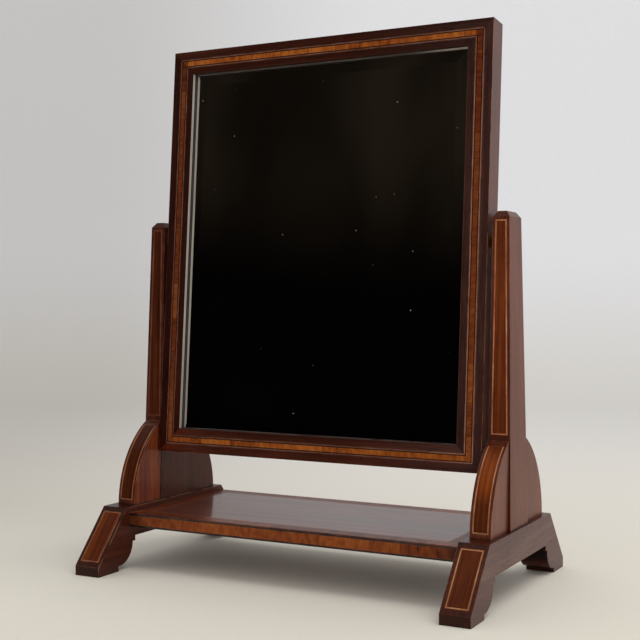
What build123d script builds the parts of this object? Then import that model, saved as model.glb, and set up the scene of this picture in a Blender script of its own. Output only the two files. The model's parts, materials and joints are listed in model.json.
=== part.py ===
from build123d import *
import os
from math import acos, cos, degrees, hypot, radians, sin

# Dressing table mirror: a stand of two end frames and a shelf, and a bevelled mirror in an inlaid frame that
# swings between the posts. Millimetres, X to the right, Y to the back, Z up, the origin under the middle.

# Mirror frame
frame_width = 414.0
frame_height = 490.0
frame_thickness = 29.0
member_width = 28.7
tilt_back = 4.0

# Inlay of the frame, from its outer edge inwards
outer_band_width = 9.8
frame_string_width = 1.3
satin_band_width = 7.6
mitre_gap = 0.1

# Glass and back
lip_thickness = 6.5
lip_cover = 6.5
glass_thickness = 5.0
glass_play = 0.5
glass_seat_play = 0.05
bevel_width = 14.5
bevel_depth = 1.2
block_length = 42.0
block_width = 5.5
blocks_per_side = 2
board_thickness = 5.0
board_ledge = 7.5
board_play = 0.4
board_screws_per_rail = 2
board_screws_per_stile = 3

# Loose tongues in the mitres
tongue_side = 12.0
tongue_thickness = 3.0

# Pivots
pivot_above_centre = 4.0
pivot_behind_middle = 6.0
pivot_plate_width = 12.0
pivot_plate_length = 36.0
pivot_plate_thickness = 2.5
pivot_screw_spacing = 25.0
stud_radius = 3.5
stud_fit = 0.05
stud_depth = 8.0
stud_end_play = 1.0
stud_bore_play = 0.5
collar_radius = 6.0
washer_thickness = 1.4
washer_bore_play = 0.3
collar_play = 0.1

# Countersunk wood screws
screw_radius = 1.5
screw_head_radius = 2.9
screw_head_height = 1.6
screw_length = 11.0
screw_tip = 3.0
screw_slot_width = 0.7
screw_slot_depth = 0.6
screw_play = 0.08

# Posts
upright_top_gap = 5.3
upright_foot_gap = 3.1
upright_foot_thickness = 27.0
upright_top_thickness = 18.7
upright_foot_depth = 58.4
upright_top_depth = 39.2
upright_above_pivot = 26.0
cap_height = 6.0
cap_inset = 4.5
tenon_thickness = 11.0
tenon_width = 36.0
tenon_depth = 22.0

# Foot rails
rail_lip = 3.1
rail_top_length = 205.3
rail_waist = 34.6
slope_run = 52.3
toe_height = 11.0
foot_length = 37.2
heel_rise = 6.0
heel_ledge = 2.0
ovolo_radius = 25.0
bead_ledge = 5.0
bead_rise = 6.0

# Brackets
bracket_inner_inset = 1.0
bracket_outer_inset = 2.9
front_bracket_setback = 20.2
rear_bracket_setback = 13.0
bracket_rise = 95.6

# Shelf
shelf_thickness = 16.2
shelf_drop = 6.2
shelf_front_setback = 5.4
shelf_rear_setback = 0.6
housing_depth = 6.0
frame_above_shelf = 64.7
crossband_width = 19.3
front_band_height = 11.0
front_band_below_top = 3.0

# Stringing and veneer panels, let in flush
inlay_thickness = 0.9
glue_line = 0.05
string_width = 1.5
foot_string_side = 4.4
foot_string_end = 6.8
bracket_string_side = 2.8
bracket_string_foot = 5.6
bracket_string_top = 10.0
upright_string_side = 3.2
upright_string_top = 3.4
upright_string_bottom = 6.0

# Heights and distances that follow from these sizes
rail_underside = heel_rise + ovolo_radius + bead_rise
rail_top = rail_underside + rail_waist
rail_half = rail_top_length / 2
foot_reach = rail_half + slope_run
slope_rise = rail_top - toe_height
shelf_top = rail_top - shelf_drop
shelf_bottom = shelf_top - shelf_thickness
shelf_front = -rail_half + shelf_front_setback
shelf_rear = rail_half - shelf_rear_setback
shelf_middle = (shelf_front + shelf_rear) / 2
shelf_depth = shelf_rear - shelf_front
pivot_height = shelf_top + frame_above_shelf + frame_height / 2 + pivot_above_centre
upright_top = pivot_height + upright_above_pivot
upright_foot_inner = frame_width / 2 + upright_foot_gap
upright_top_inner = frame_width / 2 + upright_top_gap
end_middle = upright_foot_inner + upright_foot_thickness / 2
rail_width = upright_foot_thickness + 2 * rail_lip
rail_inner = end_middle - rail_width / 2

sides = (("left", -1), ("right", 1))
facings = (("front", -1, front_bracket_setback), ("rear", 1, rear_bracket_setback))
os.makedirs("parts", exist_ok=True)


def end_plane(x, facing=-1):
    """Plane across X, with its own x axis to the front (facing -1) or to the back (facing 1)."""
    return Plane(origin=(x, 0, 0), x_dir=(0, facing, 0), z_dir=(facing, 0, 0))


def turned(plane, turn, over=0):
    """The plane turned about its own normal, and then over about its own y axis, in degrees."""
    return Plane(plane.location * Location((0, 0, 0), (0, 0, turn)) * Location((0, 0, 0), (0, over, 0)))


def flat_face(plane, points):
    """Face with straight edges through these points of the plane."""
    with BuildSketch(plane) as face:
        with BuildLine():
            Polyline(*points, close=True)
        make_face()
    return face.sketch


def mitred_strip(plane, length, height, outer, inner, gap=0):
    """Upper strip of a mitred border of this length and height, between two insets from its edge."""
    points = [
        (outer + gap - length / 2, height / 2 - outer),
        (length / 2 - outer - gap, height / 2 - outer),
        (length / 2 - inner - gap, height / 2 - inner),
        (inner + gap - length / 2, height / 2 - inner),
    ]
    return flat_face(plane, points)


def mitred_border(plane, width, height, outer, inner):
    """Four inlaid strips that meet in mitres, flush with the plane."""
    with BuildPart() as border:
        for turn in (0, 90, 180, 270):
            length, across = (width, height) if turn % 180 == 0 else (height, width)
            strip = mitred_strip(turned(plane, turn), length, across, outer, inner, mitre_gap)
            extrude(strip, amount=-inlay_thickness)
    return border.part


def screw_envelope(play):
    """Countersunk screw with its head at the origin, pointing down, or the hole that it fills."""
    with BuildPart() as envelope:
        with BuildSketch(Plane.XZ):
            with BuildLine():
                Polyline(
                    (0, 0),
                    (screw_head_radius + play, 0),
                    (screw_radius + play, -screw_head_height - play),
                    (screw_radius + play, -screw_length + screw_tip),
                    (0, -screw_length - play),
                    close=True,
                )
            make_face()
        revolve(axis=Axis.Z)
    return envelope.part


def screw_row(plane, count, spacing, offset=0):
    """Places for a row of screws along a plane's x axis, pointing into it."""
    first = -spacing * (count - 1) / 2
    return [plane.location * Location((first + spacing * step, offset, 0)) for step in range(count)]


with BuildPart() as screw:
    add(screw_envelope(0))
    with BuildSketch(Plane.XY):
        Rectangle(screw_slot_width, 3 * screw_head_radius)
    extrude(amount=-screw_slot_depth, mode=Mode.SUBTRACT)

screw_hole = screw_envelope(screw_play)


# Foot rails: a bracket foot at each end, with an ovolo and a bead under the arch
ovolo_start = foot_reach - foot_length - heel_ledge
ovolo_top = heel_rise + ovolo_radius
bead_edge = ovolo_start - ovolo_radius - bead_ledge
foot_inlay_width = rail_width - 2 * foot_string_side
foot_inlay_length = hypot(slope_run, slope_rise) - 2 * foot_string_end
foot_panel_width = foot_inlay_width - 2 * string_width
foot_panel_length = foot_inlay_length - 2 * string_width


def slope_plane(side):
    """The sloping face of a front foot, with its y axis up the slope."""
    middle = (side * end_middle, -rail_half - slope_run / 2, toe_height + slope_rise / 2)
    return Plane(origin=middle, x_dir=(1, 0, 0), z_dir=(0, -slope_rise, slope_run))


for name, side in sides:
    with BuildPart() as rail:
        with BuildSketch(end_plane(side * end_middle)):
            with BuildLine():
                Polyline(
                    (0, rail_top),
                    (rail_half, rail_top),
                    (foot_reach, toe_height),
                    (foot_reach, 0),
                    (foot_reach - foot_length, 0),
                    (foot_reach - foot_length, heel_rise),
                    (ovolo_start, heel_rise),
                )
                CenterArc((ovolo_start, ovolo_top), ovolo_radius, 270, -90)
                Polyline(
                    (ovolo_start - ovolo_radius, ovolo_top),
                    (bead_edge, ovolo_top),
                    (bead_edge, rail_underside),
                    (0, rail_underside),
                )
                mirror(about=Plane.YZ)
            make_face()
        extrude(amount=rail_width / 2, both=True)
        with BuildSketch(Plane.XY.offset(rail_top)):
            with Locations((side * end_middle, 0)):
                Rectangle(tenon_thickness, tenon_width)
        extrude(amount=-tenon_depth, mode=Mode.SUBTRACT)
        with BuildSketch(Plane.XY.offset(shelf_bottom)):
            with Locations((side * (rail_inner + housing_depth / 2), shelf_middle)):
                Rectangle(housing_depth, shelf_depth)
        extrude(amount=shelf_thickness, mode=Mode.SUBTRACT)
        with BuildSketch(slope_plane(side)):
            Rectangle(foot_inlay_width, foot_inlay_length)
        extrude(amount=-inlay_thickness, mode=Mode.SUBTRACT)
    rail.part.label = f"{name}_foot_rail"
    export_step(rail.part, f"parts/{name}_foot_rail.step")

    with BuildPart() as foot_stringing:
        with BuildSketch(slope_plane(side)):
            Rectangle(foot_inlay_width, foot_inlay_length)
            Rectangle(foot_panel_width, foot_panel_length, mode=Mode.SUBTRACT)
        extrude(amount=-inlay_thickness)
    foot_stringing.part.label = f"{name}_foot_stringing"
    export_step(foot_stringing.part, f"parts/{name}_foot_stringing.step")

    with BuildPart() as foot_panel:
        with BuildSketch(slope_plane(side)):
            Rectangle(foot_panel_width, foot_panel_length)
        extrude(amount=-inlay_thickness)
    foot_panel.part.label = f"{name}_foot_panel"
    export_step(foot_panel.part, f"parts/{name}_foot_panel.step")


# Posts: tapered on all sides, with a hipped cap, a tenon in the rail and an inlaid front
def rise_share(height):
    """How far up its tapered length a post is at this height, from 0 at the rail to 1 under the cap."""
    return (height - rail_top) / (upright_top - rail_top)


def post_inner(height):
    return upright_foot_inner + (upright_top_inner - upright_foot_inner) * rise_share(height)


def post_thickness(height):
    return upright_foot_thickness + (upright_top_thickness - upright_foot_thickness) * rise_share(height)


def post_half_depth(height):
    return (upright_foot_depth + (upright_top_depth - upright_foot_depth) * rise_share(height)) / 2


post_lean = (upright_foot_depth - upright_top_depth) / 2
post_length = upright_top - rail_top
post_front = Plane(
    origin=(0, -upright_foot_depth / 2, rail_top), x_dir=(1, 0, 0), z_dir=(0, -post_length, post_lean)
)
post_top_middle = upright_top_inner + upright_top_thickness / 2
socket_face = post_inner(pivot_height)


def post_inlay(side, inset):
    """Tapered outline on a post's front, this far inside the outer edge of its stringing."""
    low = rail_top + bracket_rise + upright_string_bottom + inset
    high = upright_top - upright_string_top - inset
    along = hypot(post_length, post_lean) / post_length
    points = []
    for height, edges in ((low, (0, 1)), (high, (1, 0))):
        for edge in edges:
            margin = upright_string_side + inset
            reach = post_inner(height) + margin + edge * (post_thickness(height) - 2 * margin)
            points.append((side * reach, (height - rail_top) * along))
    return flat_face(post_front, points)


def socket_plane(side):
    """The inner face of a post at the pivot, facing the mirror."""
    return Plane(origin=(side * socket_face, 0, pivot_height), x_dir=(0, 0, 1), z_dir=(-side, 0, 0))


for name, side in sides:
    socket_seats = screw_row(socket_plane(side), 2, pivot_screw_spacing)

    with BuildPart() as upright:
        with BuildSketch(Plane.XY.offset(rail_top)):
            with Locations((side * end_middle, 0)):
                Rectangle(upright_foot_thickness, upright_foot_depth)
        with BuildSketch(Plane.XY.offset(upright_top)):
            with Locations((side * post_top_middle, 0)):
                Rectangle(upright_top_thickness, upright_top_depth)
        loft()
        with BuildSketch(Plane.XY.offset(upright_top)):
            with Locations((side * post_top_middle, 0)):
                Rectangle(upright_top_thickness, upright_top_depth)
        with BuildSketch(Plane.XY.offset(upright_top + cap_height)):
            with Locations((side * post_top_middle, 0)):
                Rectangle(upright_top_thickness - 2 * cap_inset, upright_top_depth - 2 * cap_inset)
        loft()
        with BuildSketch(Plane.XY.offset(rail_top)):
            with Locations((side * end_middle, 0)):
                Rectangle(tenon_thickness, tenon_width)
        extrude(amount=-tenon_depth)
        extrude(post_inlay(side, 0), amount=-inlay_thickness, mode=Mode.SUBTRACT)
        with BuildSketch(socket_plane(side)):
            SlotOverall(pivot_plate_length, pivot_plate_width)
        extrude(amount=pivot_plate_thickness, both=True, mode=Mode.SUBTRACT)
        with BuildSketch(socket_plane(side)):
            Circle(stud_radius + stud_bore_play)
        extrude(amount=-pivot_plate_thickness - stud_depth - stud_end_play, mode=Mode.SUBTRACT)
        with Locations(*socket_seats):
            add(screw_hole, mode=Mode.SUBTRACT)
    upright.part.label = f"{name}_upright"
    export_step(upright.part, f"parts/{name}_upright.step")

    with BuildPart() as upright_stringing:
        extrude(post_inlay(side, 0), amount=-inlay_thickness)
        extrude(post_inlay(side, string_width), amount=-inlay_thickness, mode=Mode.SUBTRACT)
    upright_stringing.part.label = f"{name}_upright_stringing"
    export_step(upright_stringing.part, f"parts/{name}_upright_stringing.step")

    with BuildPart() as upright_panel:
        extrude(post_inlay(side, string_width), amount=-inlay_thickness)
    upright_panel.part.label = f"{name}_upright_panel"
    export_step(upright_panel.part, f"parts/{name}_upright_panel.step")

    with BuildPart() as socket_plate:
        with BuildSketch(socket_plane(side)):
            SlotOverall(pivot_plate_length, pivot_plate_width)
            Circle(stud_radius + stud_fit, mode=Mode.SUBTRACT)
        extrude(amount=-pivot_plate_thickness)
        with Locations(*socket_seats):
            add(screw_hole, mode=Mode.SUBTRACT)
    socket_plate.part.label = f"{name}_socket_plate"
    export_step(socket_plate.part, f"parts/{name}_socket_plate.step")

    with BuildPart() as pivot_washer:
        with BuildSketch(socket_plane(side)):
            Circle(collar_radius)
            Circle(stud_radius + washer_bore_play, mode=Mode.SUBTRACT)
        extrude(amount=washer_thickness)
    pivot_washer.part.label = f"{name}_pivot_washer"
    export_step(pivot_washer.part, f"parts/{name}_pivot_washer.step")

with BuildPart() as socket_screws:
    for name, side in sides:
        with Locations(*screw_row(socket_plane(side), 2, pivot_screw_spacing)):
            add(screw.part)
socket_screws.part.label = "socket_screws"
export_step(socket_screws.part, "parts/socket_screws.step")


# Brackets: each curved edge rises upright from the rail and leans over to the post
bracket_thickness = upright_foot_thickness - bracket_inner_inset - bracket_outer_inset
bracket_middle = end_middle + (bracket_inner_inset - bracket_outer_inset) / 2
bracket_top = rail_top + bracket_rise
bracket_inlay_width = bracket_thickness - 2 * bracket_string_side
bracket_panel_width = bracket_inlay_width - 2 * string_width


def bracket_arc(setback):
    """Centre, radius and sweep of a bracket's curve, which starts this far in from the end of the rail."""
    reach = rail_half - setback
    run = reach - post_half_depth(bracket_top)
    radius = (run**2 + bracket_rise**2) / (2 * run)
    return (reach - radius, rail_top), radius, degrees(acos(1 - run / radius))


def bracket_inlay(side, inset, depth, proud=0):
    """Sector under a front bracket's curve, this far above the foot of its stringing, which is open above."""
    centre, radius, sweep = bracket_arc(front_bracket_setback)
    foot = degrees((bracket_string_foot + inset) / radius)
    length = sweep - foot - degrees(bracket_string_top / radius)
    with BuildSketch(end_plane(side * bracket_middle)) as sector:
        with BuildLine():
            outer = CenterArc(centre, radius + proud, foot, length)
            inner = CenterArc(centre, radius - depth, foot, length)
            Line(outer @ 0, inner @ 0)
            Line(outer @ 1, inner @ 1)
        make_face()
    return sector.sketch


groove_depth = inlay_thickness + glue_line

for name, side in sides:
    for end, facing, setback in facings:
        centre, radius, sweep = bracket_arc(setback)
        with BuildPart() as bracket:
            with BuildSketch(end_plane(side * bracket_middle, facing)):
                with BuildLine():
                    base = Line((post_half_depth(rail_top), rail_top), (rail_half - setback, rail_top))
                    curve = CenterArc(centre, radius, 0, sweep)
                    Line(curve @ 1, base @ 0)
                make_face()
            extrude(amount=bracket_thickness / 2, both=True)
            if end == "front":
                groove = bracket_inlay(side, 0, groove_depth, proud=inlay_thickness)
                extrude(groove, amount=bracket_inlay_width / 2, both=True, mode=Mode.SUBTRACT)
        bracket.part.label = f"{name}_{end}_bracket"
        export_step(bracket.part, f"parts/{name}_{end}_bracket.step")

    with BuildPart() as bracket_stringing:
        extrude(bracket_inlay(side, 0, inlay_thickness), amount=bracket_inlay_width / 2, both=True)
        opening = bracket_inlay(side, string_width, groove_depth, proud=inlay_thickness)
        extrude(opening, amount=bracket_panel_width / 2, both=True, mode=Mode.SUBTRACT)
    bracket_stringing.part.label = f"{name}_bracket_stringing"
    export_step(bracket_stringing.part, f"parts/{name}_bracket_stringing.step")

    with BuildPart() as bracket_panel:
        extrude(bracket_inlay(side, string_width, inlay_thickness), amount=bracket_panel_width / 2, both=True)
    bracket_panel.part.label = f"{name}_bracket_panel"
    export_step(bracket_panel.part, f"parts/{name}_bracket_panel.step")


# Shelf: housed in the rails, with a crossbanded and strung top and a banded front edge
shelf_face = Plane(origin=(0, shelf_middle, shelf_top))
shelf_edge = Plane(origin=(0, shelf_front, shelf_top), x_dir=(1, 0, 0), z_dir=(0, -1, 0))
shelf_inlay_width = crossband_width + string_width
shelf_field_width = 2 * (rail_inner - shelf_inlay_width)
shelf_field_depth = shelf_depth - 2 * shelf_inlay_width
front_band_middle = -front_band_below_top - front_band_height / 2

with BuildPart() as shelf:
    with BuildSketch(Plane(origin=(0, shelf_middle, shelf_bottom))):
        Rectangle(2 * (rail_inner + housing_depth), shelf_depth)
    extrude(amount=shelf_thickness)
    with BuildSketch(shelf_face):
        Rectangle(2 * rail_inner, shelf_depth)
        Rectangle(shelf_field_width, shelf_field_depth, mode=Mode.SUBTRACT)
    extrude(amount=-inlay_thickness, mode=Mode.SUBTRACT)
    with BuildSketch(shelf_edge):
        with Locations((0, front_band_middle)):
            Rectangle(2 * rail_inner, front_band_height)
    extrude(amount=-inlay_thickness, mode=Mode.SUBTRACT)
shelf.part.label = "shelf"
export_step(shelf.part, "parts/shelf.step")

with BuildPart() as shelf_front_band:
    with BuildSketch(shelf_edge):
        with Locations((0, front_band_middle)):
            Rectangle(2 * rail_inner, front_band_height)
    extrude(amount=-inlay_thickness)
shelf_front_band.part.label = "shelf_front_band"
export_step(shelf_front_band.part, "parts/shelf_front_band.step")

shelf_crossbanding = mitred_border(shelf_face, 2 * rail_inner, shelf_depth, 0, crossband_width)
shelf_crossbanding.label = "shelf_crossbanding"
export_step(shelf_crossbanding, "parts/shelf_crossbanding.step")

shelf_stringing = mitred_border(shelf_face, 2 * rail_inner, shelf_depth, crossband_width, shelf_inlay_width)
shelf_stringing.label = "shelf_stringing"
export_step(shelf_stringing, "parts/shelf_stringing.step")


# Mirror frame: four mitred members with a stepped rebate, leaning back about the pivots
swing_plane = Plane(
    origin=(0, 0, pivot_height), x_dir=(1, 0, 0), z_dir=(0, -cos(radians(tilt_back)), sin(radians(tilt_back)))
)
frame_sides = (
    ("top_rail", 0, frame_width, frame_height, board_screws_per_rail),
    ("left_stile", 90, frame_height, frame_width, board_screws_per_stile),
    ("bottom_rail", 180, frame_width, frame_height, board_screws_per_rail),
    ("right_stile", 270, frame_height, frame_width, board_screws_per_stile),
)
string_edge = outer_band_width + frame_string_width
satin_edge = string_edge + satin_band_width
inlay_edge = satin_edge + frame_string_width
glass_inset = member_width - lip_cover
rebate_inset = glass_inset - glass_play
ledge_inset = rebate_inset - board_ledge
board_seat = frame_thickness - board_thickness


def frame_plane(depth):
    """Plane along the frame's face, centred on the frame, this far behind its front."""
    ahead = frame_thickness / 2 + pivot_behind_middle - depth
    middle = swing_plane.from_local_coords((0, -pivot_above_centre, ahead))
    return Plane(origin=middle, x_dir=(1, 0, 0), z_dir=swing_plane.z_dir)


def stud_plane(side):
    """The outer edge of a stile at the pivot."""
    pivot = (side * frame_width / 2, 0, pivot_height)
    return Plane(origin=pivot, x_dir=swing_plane.y_dir, z_dir=(side, 0, 0))


def board_seats(turn, length, height, count):
    """Places of the backboard's screws along one side, pointing forwards."""
    back = turned(frame_plane(frame_thickness), turn, over=180)
    return screw_row(back, count, length / count, height / 2 - (rebate_inset + ledge_inset) / 2)


with BuildSketch(frame_plane((frame_thickness - tongue_thickness) / 2)) as tongue_seats:
    with GridLocations(frame_width - rebate_inset, frame_height - rebate_inset, 2, 2):
        Rectangle(tongue_side, tongue_side, rotation=45)

for name, turn, length, height, screw_count in frame_sides:
    with BuildPart() as member:
        front = turned(frame_plane(0), turn)
        extrude(mitred_strip(front, length, height, 0, member_width), amount=-frame_thickness)
        extrude(
            mitred_strip(front, length, height, outer_band_width, inlay_edge),
            amount=-inlay_thickness,
            mode=Mode.SUBTRACT,
        )
        extrude(
            mitred_strip(front.offset(-lip_thickness), length, height, rebate_inset, member_width),
            amount=-frame_thickness,
            mode=Mode.SUBTRACT,
        )
        extrude(
            mitred_strip(front.offset(-board_seat), length, height, ledge_inset, member_width),
            amount=-frame_thickness,
            mode=Mode.SUBTRACT,
        )
        extrude(tongue_seats.sketch, amount=-tongue_thickness, mode=Mode.SUBTRACT)
        with Locations(*board_seats(turn, length, height, screw_count)):
            add(screw_hole, mode=Mode.SUBTRACT)
        for side_name, side in sides:
            if name == f"{side_name}_stile":
                with BuildSketch(stud_plane(side)):
                    SlotOverall(pivot_plate_length, pivot_plate_width)
                extrude(amount=-pivot_plate_thickness, mode=Mode.SUBTRACT)
                with Locations(*screw_row(stud_plane(side), 2, pivot_screw_spacing)):
                    add(screw_hole, mode=Mode.SUBTRACT)
    member.part.label = f"frame_{name}"
    export_step(member.part, f"parts/frame_{name}.step")

with BuildPart() as mitre_tongues:
    extrude(tongue_seats.sketch, amount=-tongue_thickness)
mitre_tongues.part.label = "mitre_tongues"
export_step(mitre_tongues.part, "parts/mitre_tongues.step")

frame_inlay = (
    ("frame_outer_string", outer_band_width, string_edge),
    ("frame_banding", string_edge, satin_edge),
    ("frame_inner_string", satin_edge, inlay_edge),
)
for name, outer, inner in frame_inlay:
    inlay = mitred_border(frame_plane(0), frame_width, frame_height, outer, inner)
    inlay.label = name
    export_step(inlay, f"parts/{name}.step")


# Bevelled mirror glass: its bevel bears on the sight edge of the lip
glass_width = frame_width - 2 * glass_inset
glass_height = frame_height - 2 * glass_inset
bevel_total = bevel_width + lip_cover
glass_front = lip_thickness + glass_seat_play - bevel_depth * bevel_width / bevel_total
glass_back = glass_front + glass_thickness

with BuildPart() as mirror_plate:
    with BuildSketch(frame_plane(glass_back)):
        Rectangle(glass_width, glass_height)
    extrude(amount=glass_thickness - bevel_depth)
    with BuildSketch(frame_plane(glass_front + bevel_depth)):
        Rectangle(glass_width, glass_height)
    with BuildSketch(frame_plane(glass_front)):
        Rectangle(glass_width - 2 * bevel_total, glass_height - 2 * bevel_total)
    loft()
mirror_plate.part.label = "mirror_plate"
export_step(mirror_plate.part, "parts/mirror_plate.step")


# Softwood blocks behind the glass, and the backboard that rests on them
with BuildPart() as glazing_blocks:
    for name, turn, length, height, screw_count in frame_sides:
        with BuildSketch(turned(frame_plane(glass_back), turn)):
            with Locations((0, height / 2 - rebate_inset - block_width / 2)):
                with GridLocations(length / blocks_per_side, 0, blocks_per_side, 1):
                    Rectangle(block_length, block_width)
        extrude(amount=glass_back - board_seat)
glazing_blocks.part.label = "glazing_blocks"
export_step(glazing_blocks.part, "parts/glazing_blocks.step")

with BuildPart() as backboard:
    with BuildSketch(frame_plane(board_seat)):
        Rectangle(
            frame_width - 2 * (ledge_inset + board_play),
            frame_height - 2 * (ledge_inset + board_play),
        )
    extrude(amount=-board_thickness)
    for name, turn, length, height, screw_count in frame_sides:
        with Locations(*board_seats(turn, length, height, screw_count)):
            add(screw_hole, mode=Mode.SUBTRACT)
backboard.part.label = "backboard"
export_step(backboard.part, "parts/backboard.step")

with BuildPart() as backboard_screws:
    for name, turn, length, height, screw_count in frame_sides:
        with Locations(*board_seats(turn, length, height, screw_count)):
            add(screw.part)
backboard_screws.part.label = "backboard_screws"
export_step(backboard_screws.part, "parts/backboard_screws.step")


# Pivot studs: a plate let into each stile, with a collar and a stud that turns in the socket plate
pivot_gap = socket_face - frame_width / 2

for name, side in sides:
    with BuildPart() as stud_plate:
        with BuildSketch(stud_plane(side)):
            SlotOverall(pivot_plate_length, pivot_plate_width)
        extrude(amount=-pivot_plate_thickness)
        with BuildSketch(stud_plane(side)):
            Circle(collar_radius)
        extrude(amount=pivot_gap - washer_thickness - collar_play)
        with BuildSketch(stud_plane(side)):
            Circle(stud_radius)
        extrude(amount=pivot_gap + pivot_plate_thickness + stud_depth)
        with Locations(*screw_row(stud_plane(side), 2, pivot_screw_spacing)):
            add(screw_hole, mode=Mode.SUBTRACT)
    stud_plate.part.label = f"{name}_stud_plate"
    export_step(stud_plate.part, f"parts/{name}_stud_plate.step")

with BuildPart() as stud_screws:
    for name, side in sides:
        with Locations(*screw_row(stud_plane(side), 2, pivot_screw_spacing)):
            add(screw.part)
stud_screws.part.label = "stud_screws"
export_step(stud_screws.part, "parts/stud_screws.step")
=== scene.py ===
"""Looks of the dressing table mirror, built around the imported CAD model, in metres."""
import json
import math
from types import SimpleNamespace

import bmesh
import bpy
from mathutils import Matrix, Vector


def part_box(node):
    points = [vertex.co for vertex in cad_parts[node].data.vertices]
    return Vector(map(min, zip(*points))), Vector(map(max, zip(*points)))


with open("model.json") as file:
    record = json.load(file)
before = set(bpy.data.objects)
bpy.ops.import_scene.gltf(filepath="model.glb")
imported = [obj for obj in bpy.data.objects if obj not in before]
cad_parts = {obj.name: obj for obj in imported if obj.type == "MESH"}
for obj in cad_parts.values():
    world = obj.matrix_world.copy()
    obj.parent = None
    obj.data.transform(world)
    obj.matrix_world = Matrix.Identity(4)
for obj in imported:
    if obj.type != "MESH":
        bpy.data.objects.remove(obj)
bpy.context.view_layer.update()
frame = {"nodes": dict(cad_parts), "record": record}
nodes = frame["nodes"]
scene = bpy.context.scene
X, Y, Z = 0, 1, 2

# The mirror leans back about its pivots. Its middle lies off them across, through and up the frame
LEAN = math.radians(4.0)
PIVOT = Vector(frame["record"]["behaviour"]["joints"][0]["pos_m"])
MIDDLE_OFF_PIVOT = Vector((0.0, -0.006, -0.004))
FRAME_MIDDLE = PIVOT + Matrix.Rotation(-LEAN, 3, "X") @ MIDDLE_OFF_PIVOT
FRAME_HALF_WIDTH, FRAME_HALF_HEIGHT, MEMBER_WIDTH = 0.207, 0.245, 0.0287
SIGHT_HALF_WIDTH = FRAME_HALF_WIDTH - MEMBER_WIDTH
SIGHT_HALF_HEIGHT = FRAME_HALF_HEIGHT - MEMBER_WIDTH
# The slip is the skin of the sight edge. Its front ends this far through the frame, from its middle
SLIP_BACK, SLIP_SKIN = -0.0108, 0.0004
# Middle and half width of the frame's band, inside the dark lines at its edges
BAND_MIDDLE, BAND_HALF = 0.0149, 0.0028
LINE_SOFTNESS = 0.0002
# Spans over which a look changes: across the frame and up it, off its mitres, and in from its rim
PAINTED_SHEEN_ACROSS, REDDER_ACROSS, REDDER_UP = (0.02, 0.2), (-0.2, -0.15), (-0.05, 0.2)
GLINT_ACROSS, STRING_LIGHT_ACROSS, STRING_LIGHT_UP = (0.1, 0.178), (0.1, 0.19), (0.11, 0.235)
BAND_UP, MITRE_OFF, RIM_IN, RIM_RAGGED = (-0.24, 0.02), (0.002, 0.004), (-0.0004, 0.0002), 0.0008
# Spans on the stand: outwards from the arches of the feet, and in from the ends of the shelf's band
ARCH_OUT, DARK_END_FROM, DARK_END_TO = (0.100, 0.112), 0.034, 0.006


def rgb(red, green, blue):
    """A display colour of 0 to 255 as the linear colour that a shader takes."""
    def linear(value):
        value /= 255
        return value / 12.92 if value <= 0.04045 else ((value + 0.055) / 1.055) ** 2.4
    return linear(red), linear(green), linear(blue)


# Colours of the wood, from dark to light where there are three
MAHOGANY = rgb(54, 22, 14), rgb(84, 38, 22), rgb(114, 60, 35)
# The worn colour is wear on the arrises together with a painted highlight
MAHOGANY_PORE, MAHOGANY_WORN_AND_HIGHLIT = rgb(22, 8, 7), rgb(160, 112, 84)
# The arch stain colour is painted shade, and the joint dirt colour is dirt with painted shade
STAINED, ARCH_PAINTED_SHADE, JOINT_DIRT_AND_SHADE = rgb(34, 13, 8), rgb(16, 8, 7), rgb(14, 7, 5)
VENEER = rgb(92, 37, 15), rgb(124, 56, 22), rgb(154, 78, 32)
VENEER_PORE = rgb(50, 19, 10)
SATINWOOD = rgb(98, 45, 12), rgb(144, 73, 22), rgb(170, 101, 38)
RED_SATINWOOD = rgb(66, 25, 10), rgb(118, 55, 22), rgb(148, 80, 35)
KINGWOOD = rgb(58, 24, 14), rgb(98, 44, 24), rgb(136, 70, 36)
BAND_JOINT, BAND_DIRT, EBONY = rgb(40, 16, 8), rgb(34, 14, 9), rgb(30, 11, 8)
BOXWOOD = rgb(140, 76, 38), rgb(190, 116, 64), rgb(216, 150, 96)
STRING_DIRT = rgb(46, 22, 14)
BOARD_WOOD = rgb(58, 36, 22), rgb(98, 64, 38), rgb(132, 92, 58)
BLOCK_WOOD = rgb(132, 94, 56), rgb(176, 134, 86), rgb(204, 166, 116)
BOARD_SEAM, BOARD_DIRT = rgb(20, 10, 7), rgb(60, 34, 20)
# Colours of the slip, all painted light and shade: pale where lit on the left stile, dull, dark or shaded
# elsewhere and at its back, with a painted highlight line and glint at the back of the top rail
SLIP_PAINTED_LIGHT, SLIP_IN_PAINTED_SHADE, SLIP_DEEP_PAINTED_SHADE = rgb(186, 178, 170), rgb(66, 46, 38), rgb(32, 19, 16)
SLIP_SHADE, SLIP_PAINTED_HIGHLIGHT, SLIP_GLINT = rgb(52, 46, 42), rgb(90, 80, 75), rgb(190, 182, 174)
# Colours of the glass, the metal and the leather
SILVER, HAZY_SILVER, BARE_GLASS = (0.88, 0.88, 0.86), (0.78, 0.76, 0.72), (0.03, 0.028, 0.026)
SPECK = (0.28, 0.28, 0.28)
BRASS = rgb(92, 66, 34), rgb(168, 128, 68), rgb(206, 170, 102)
BRASS_RUBBED = rgb(226, 194, 128)
HIDE = rgb(40, 24, 16), rgb(86, 54, 34)

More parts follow.
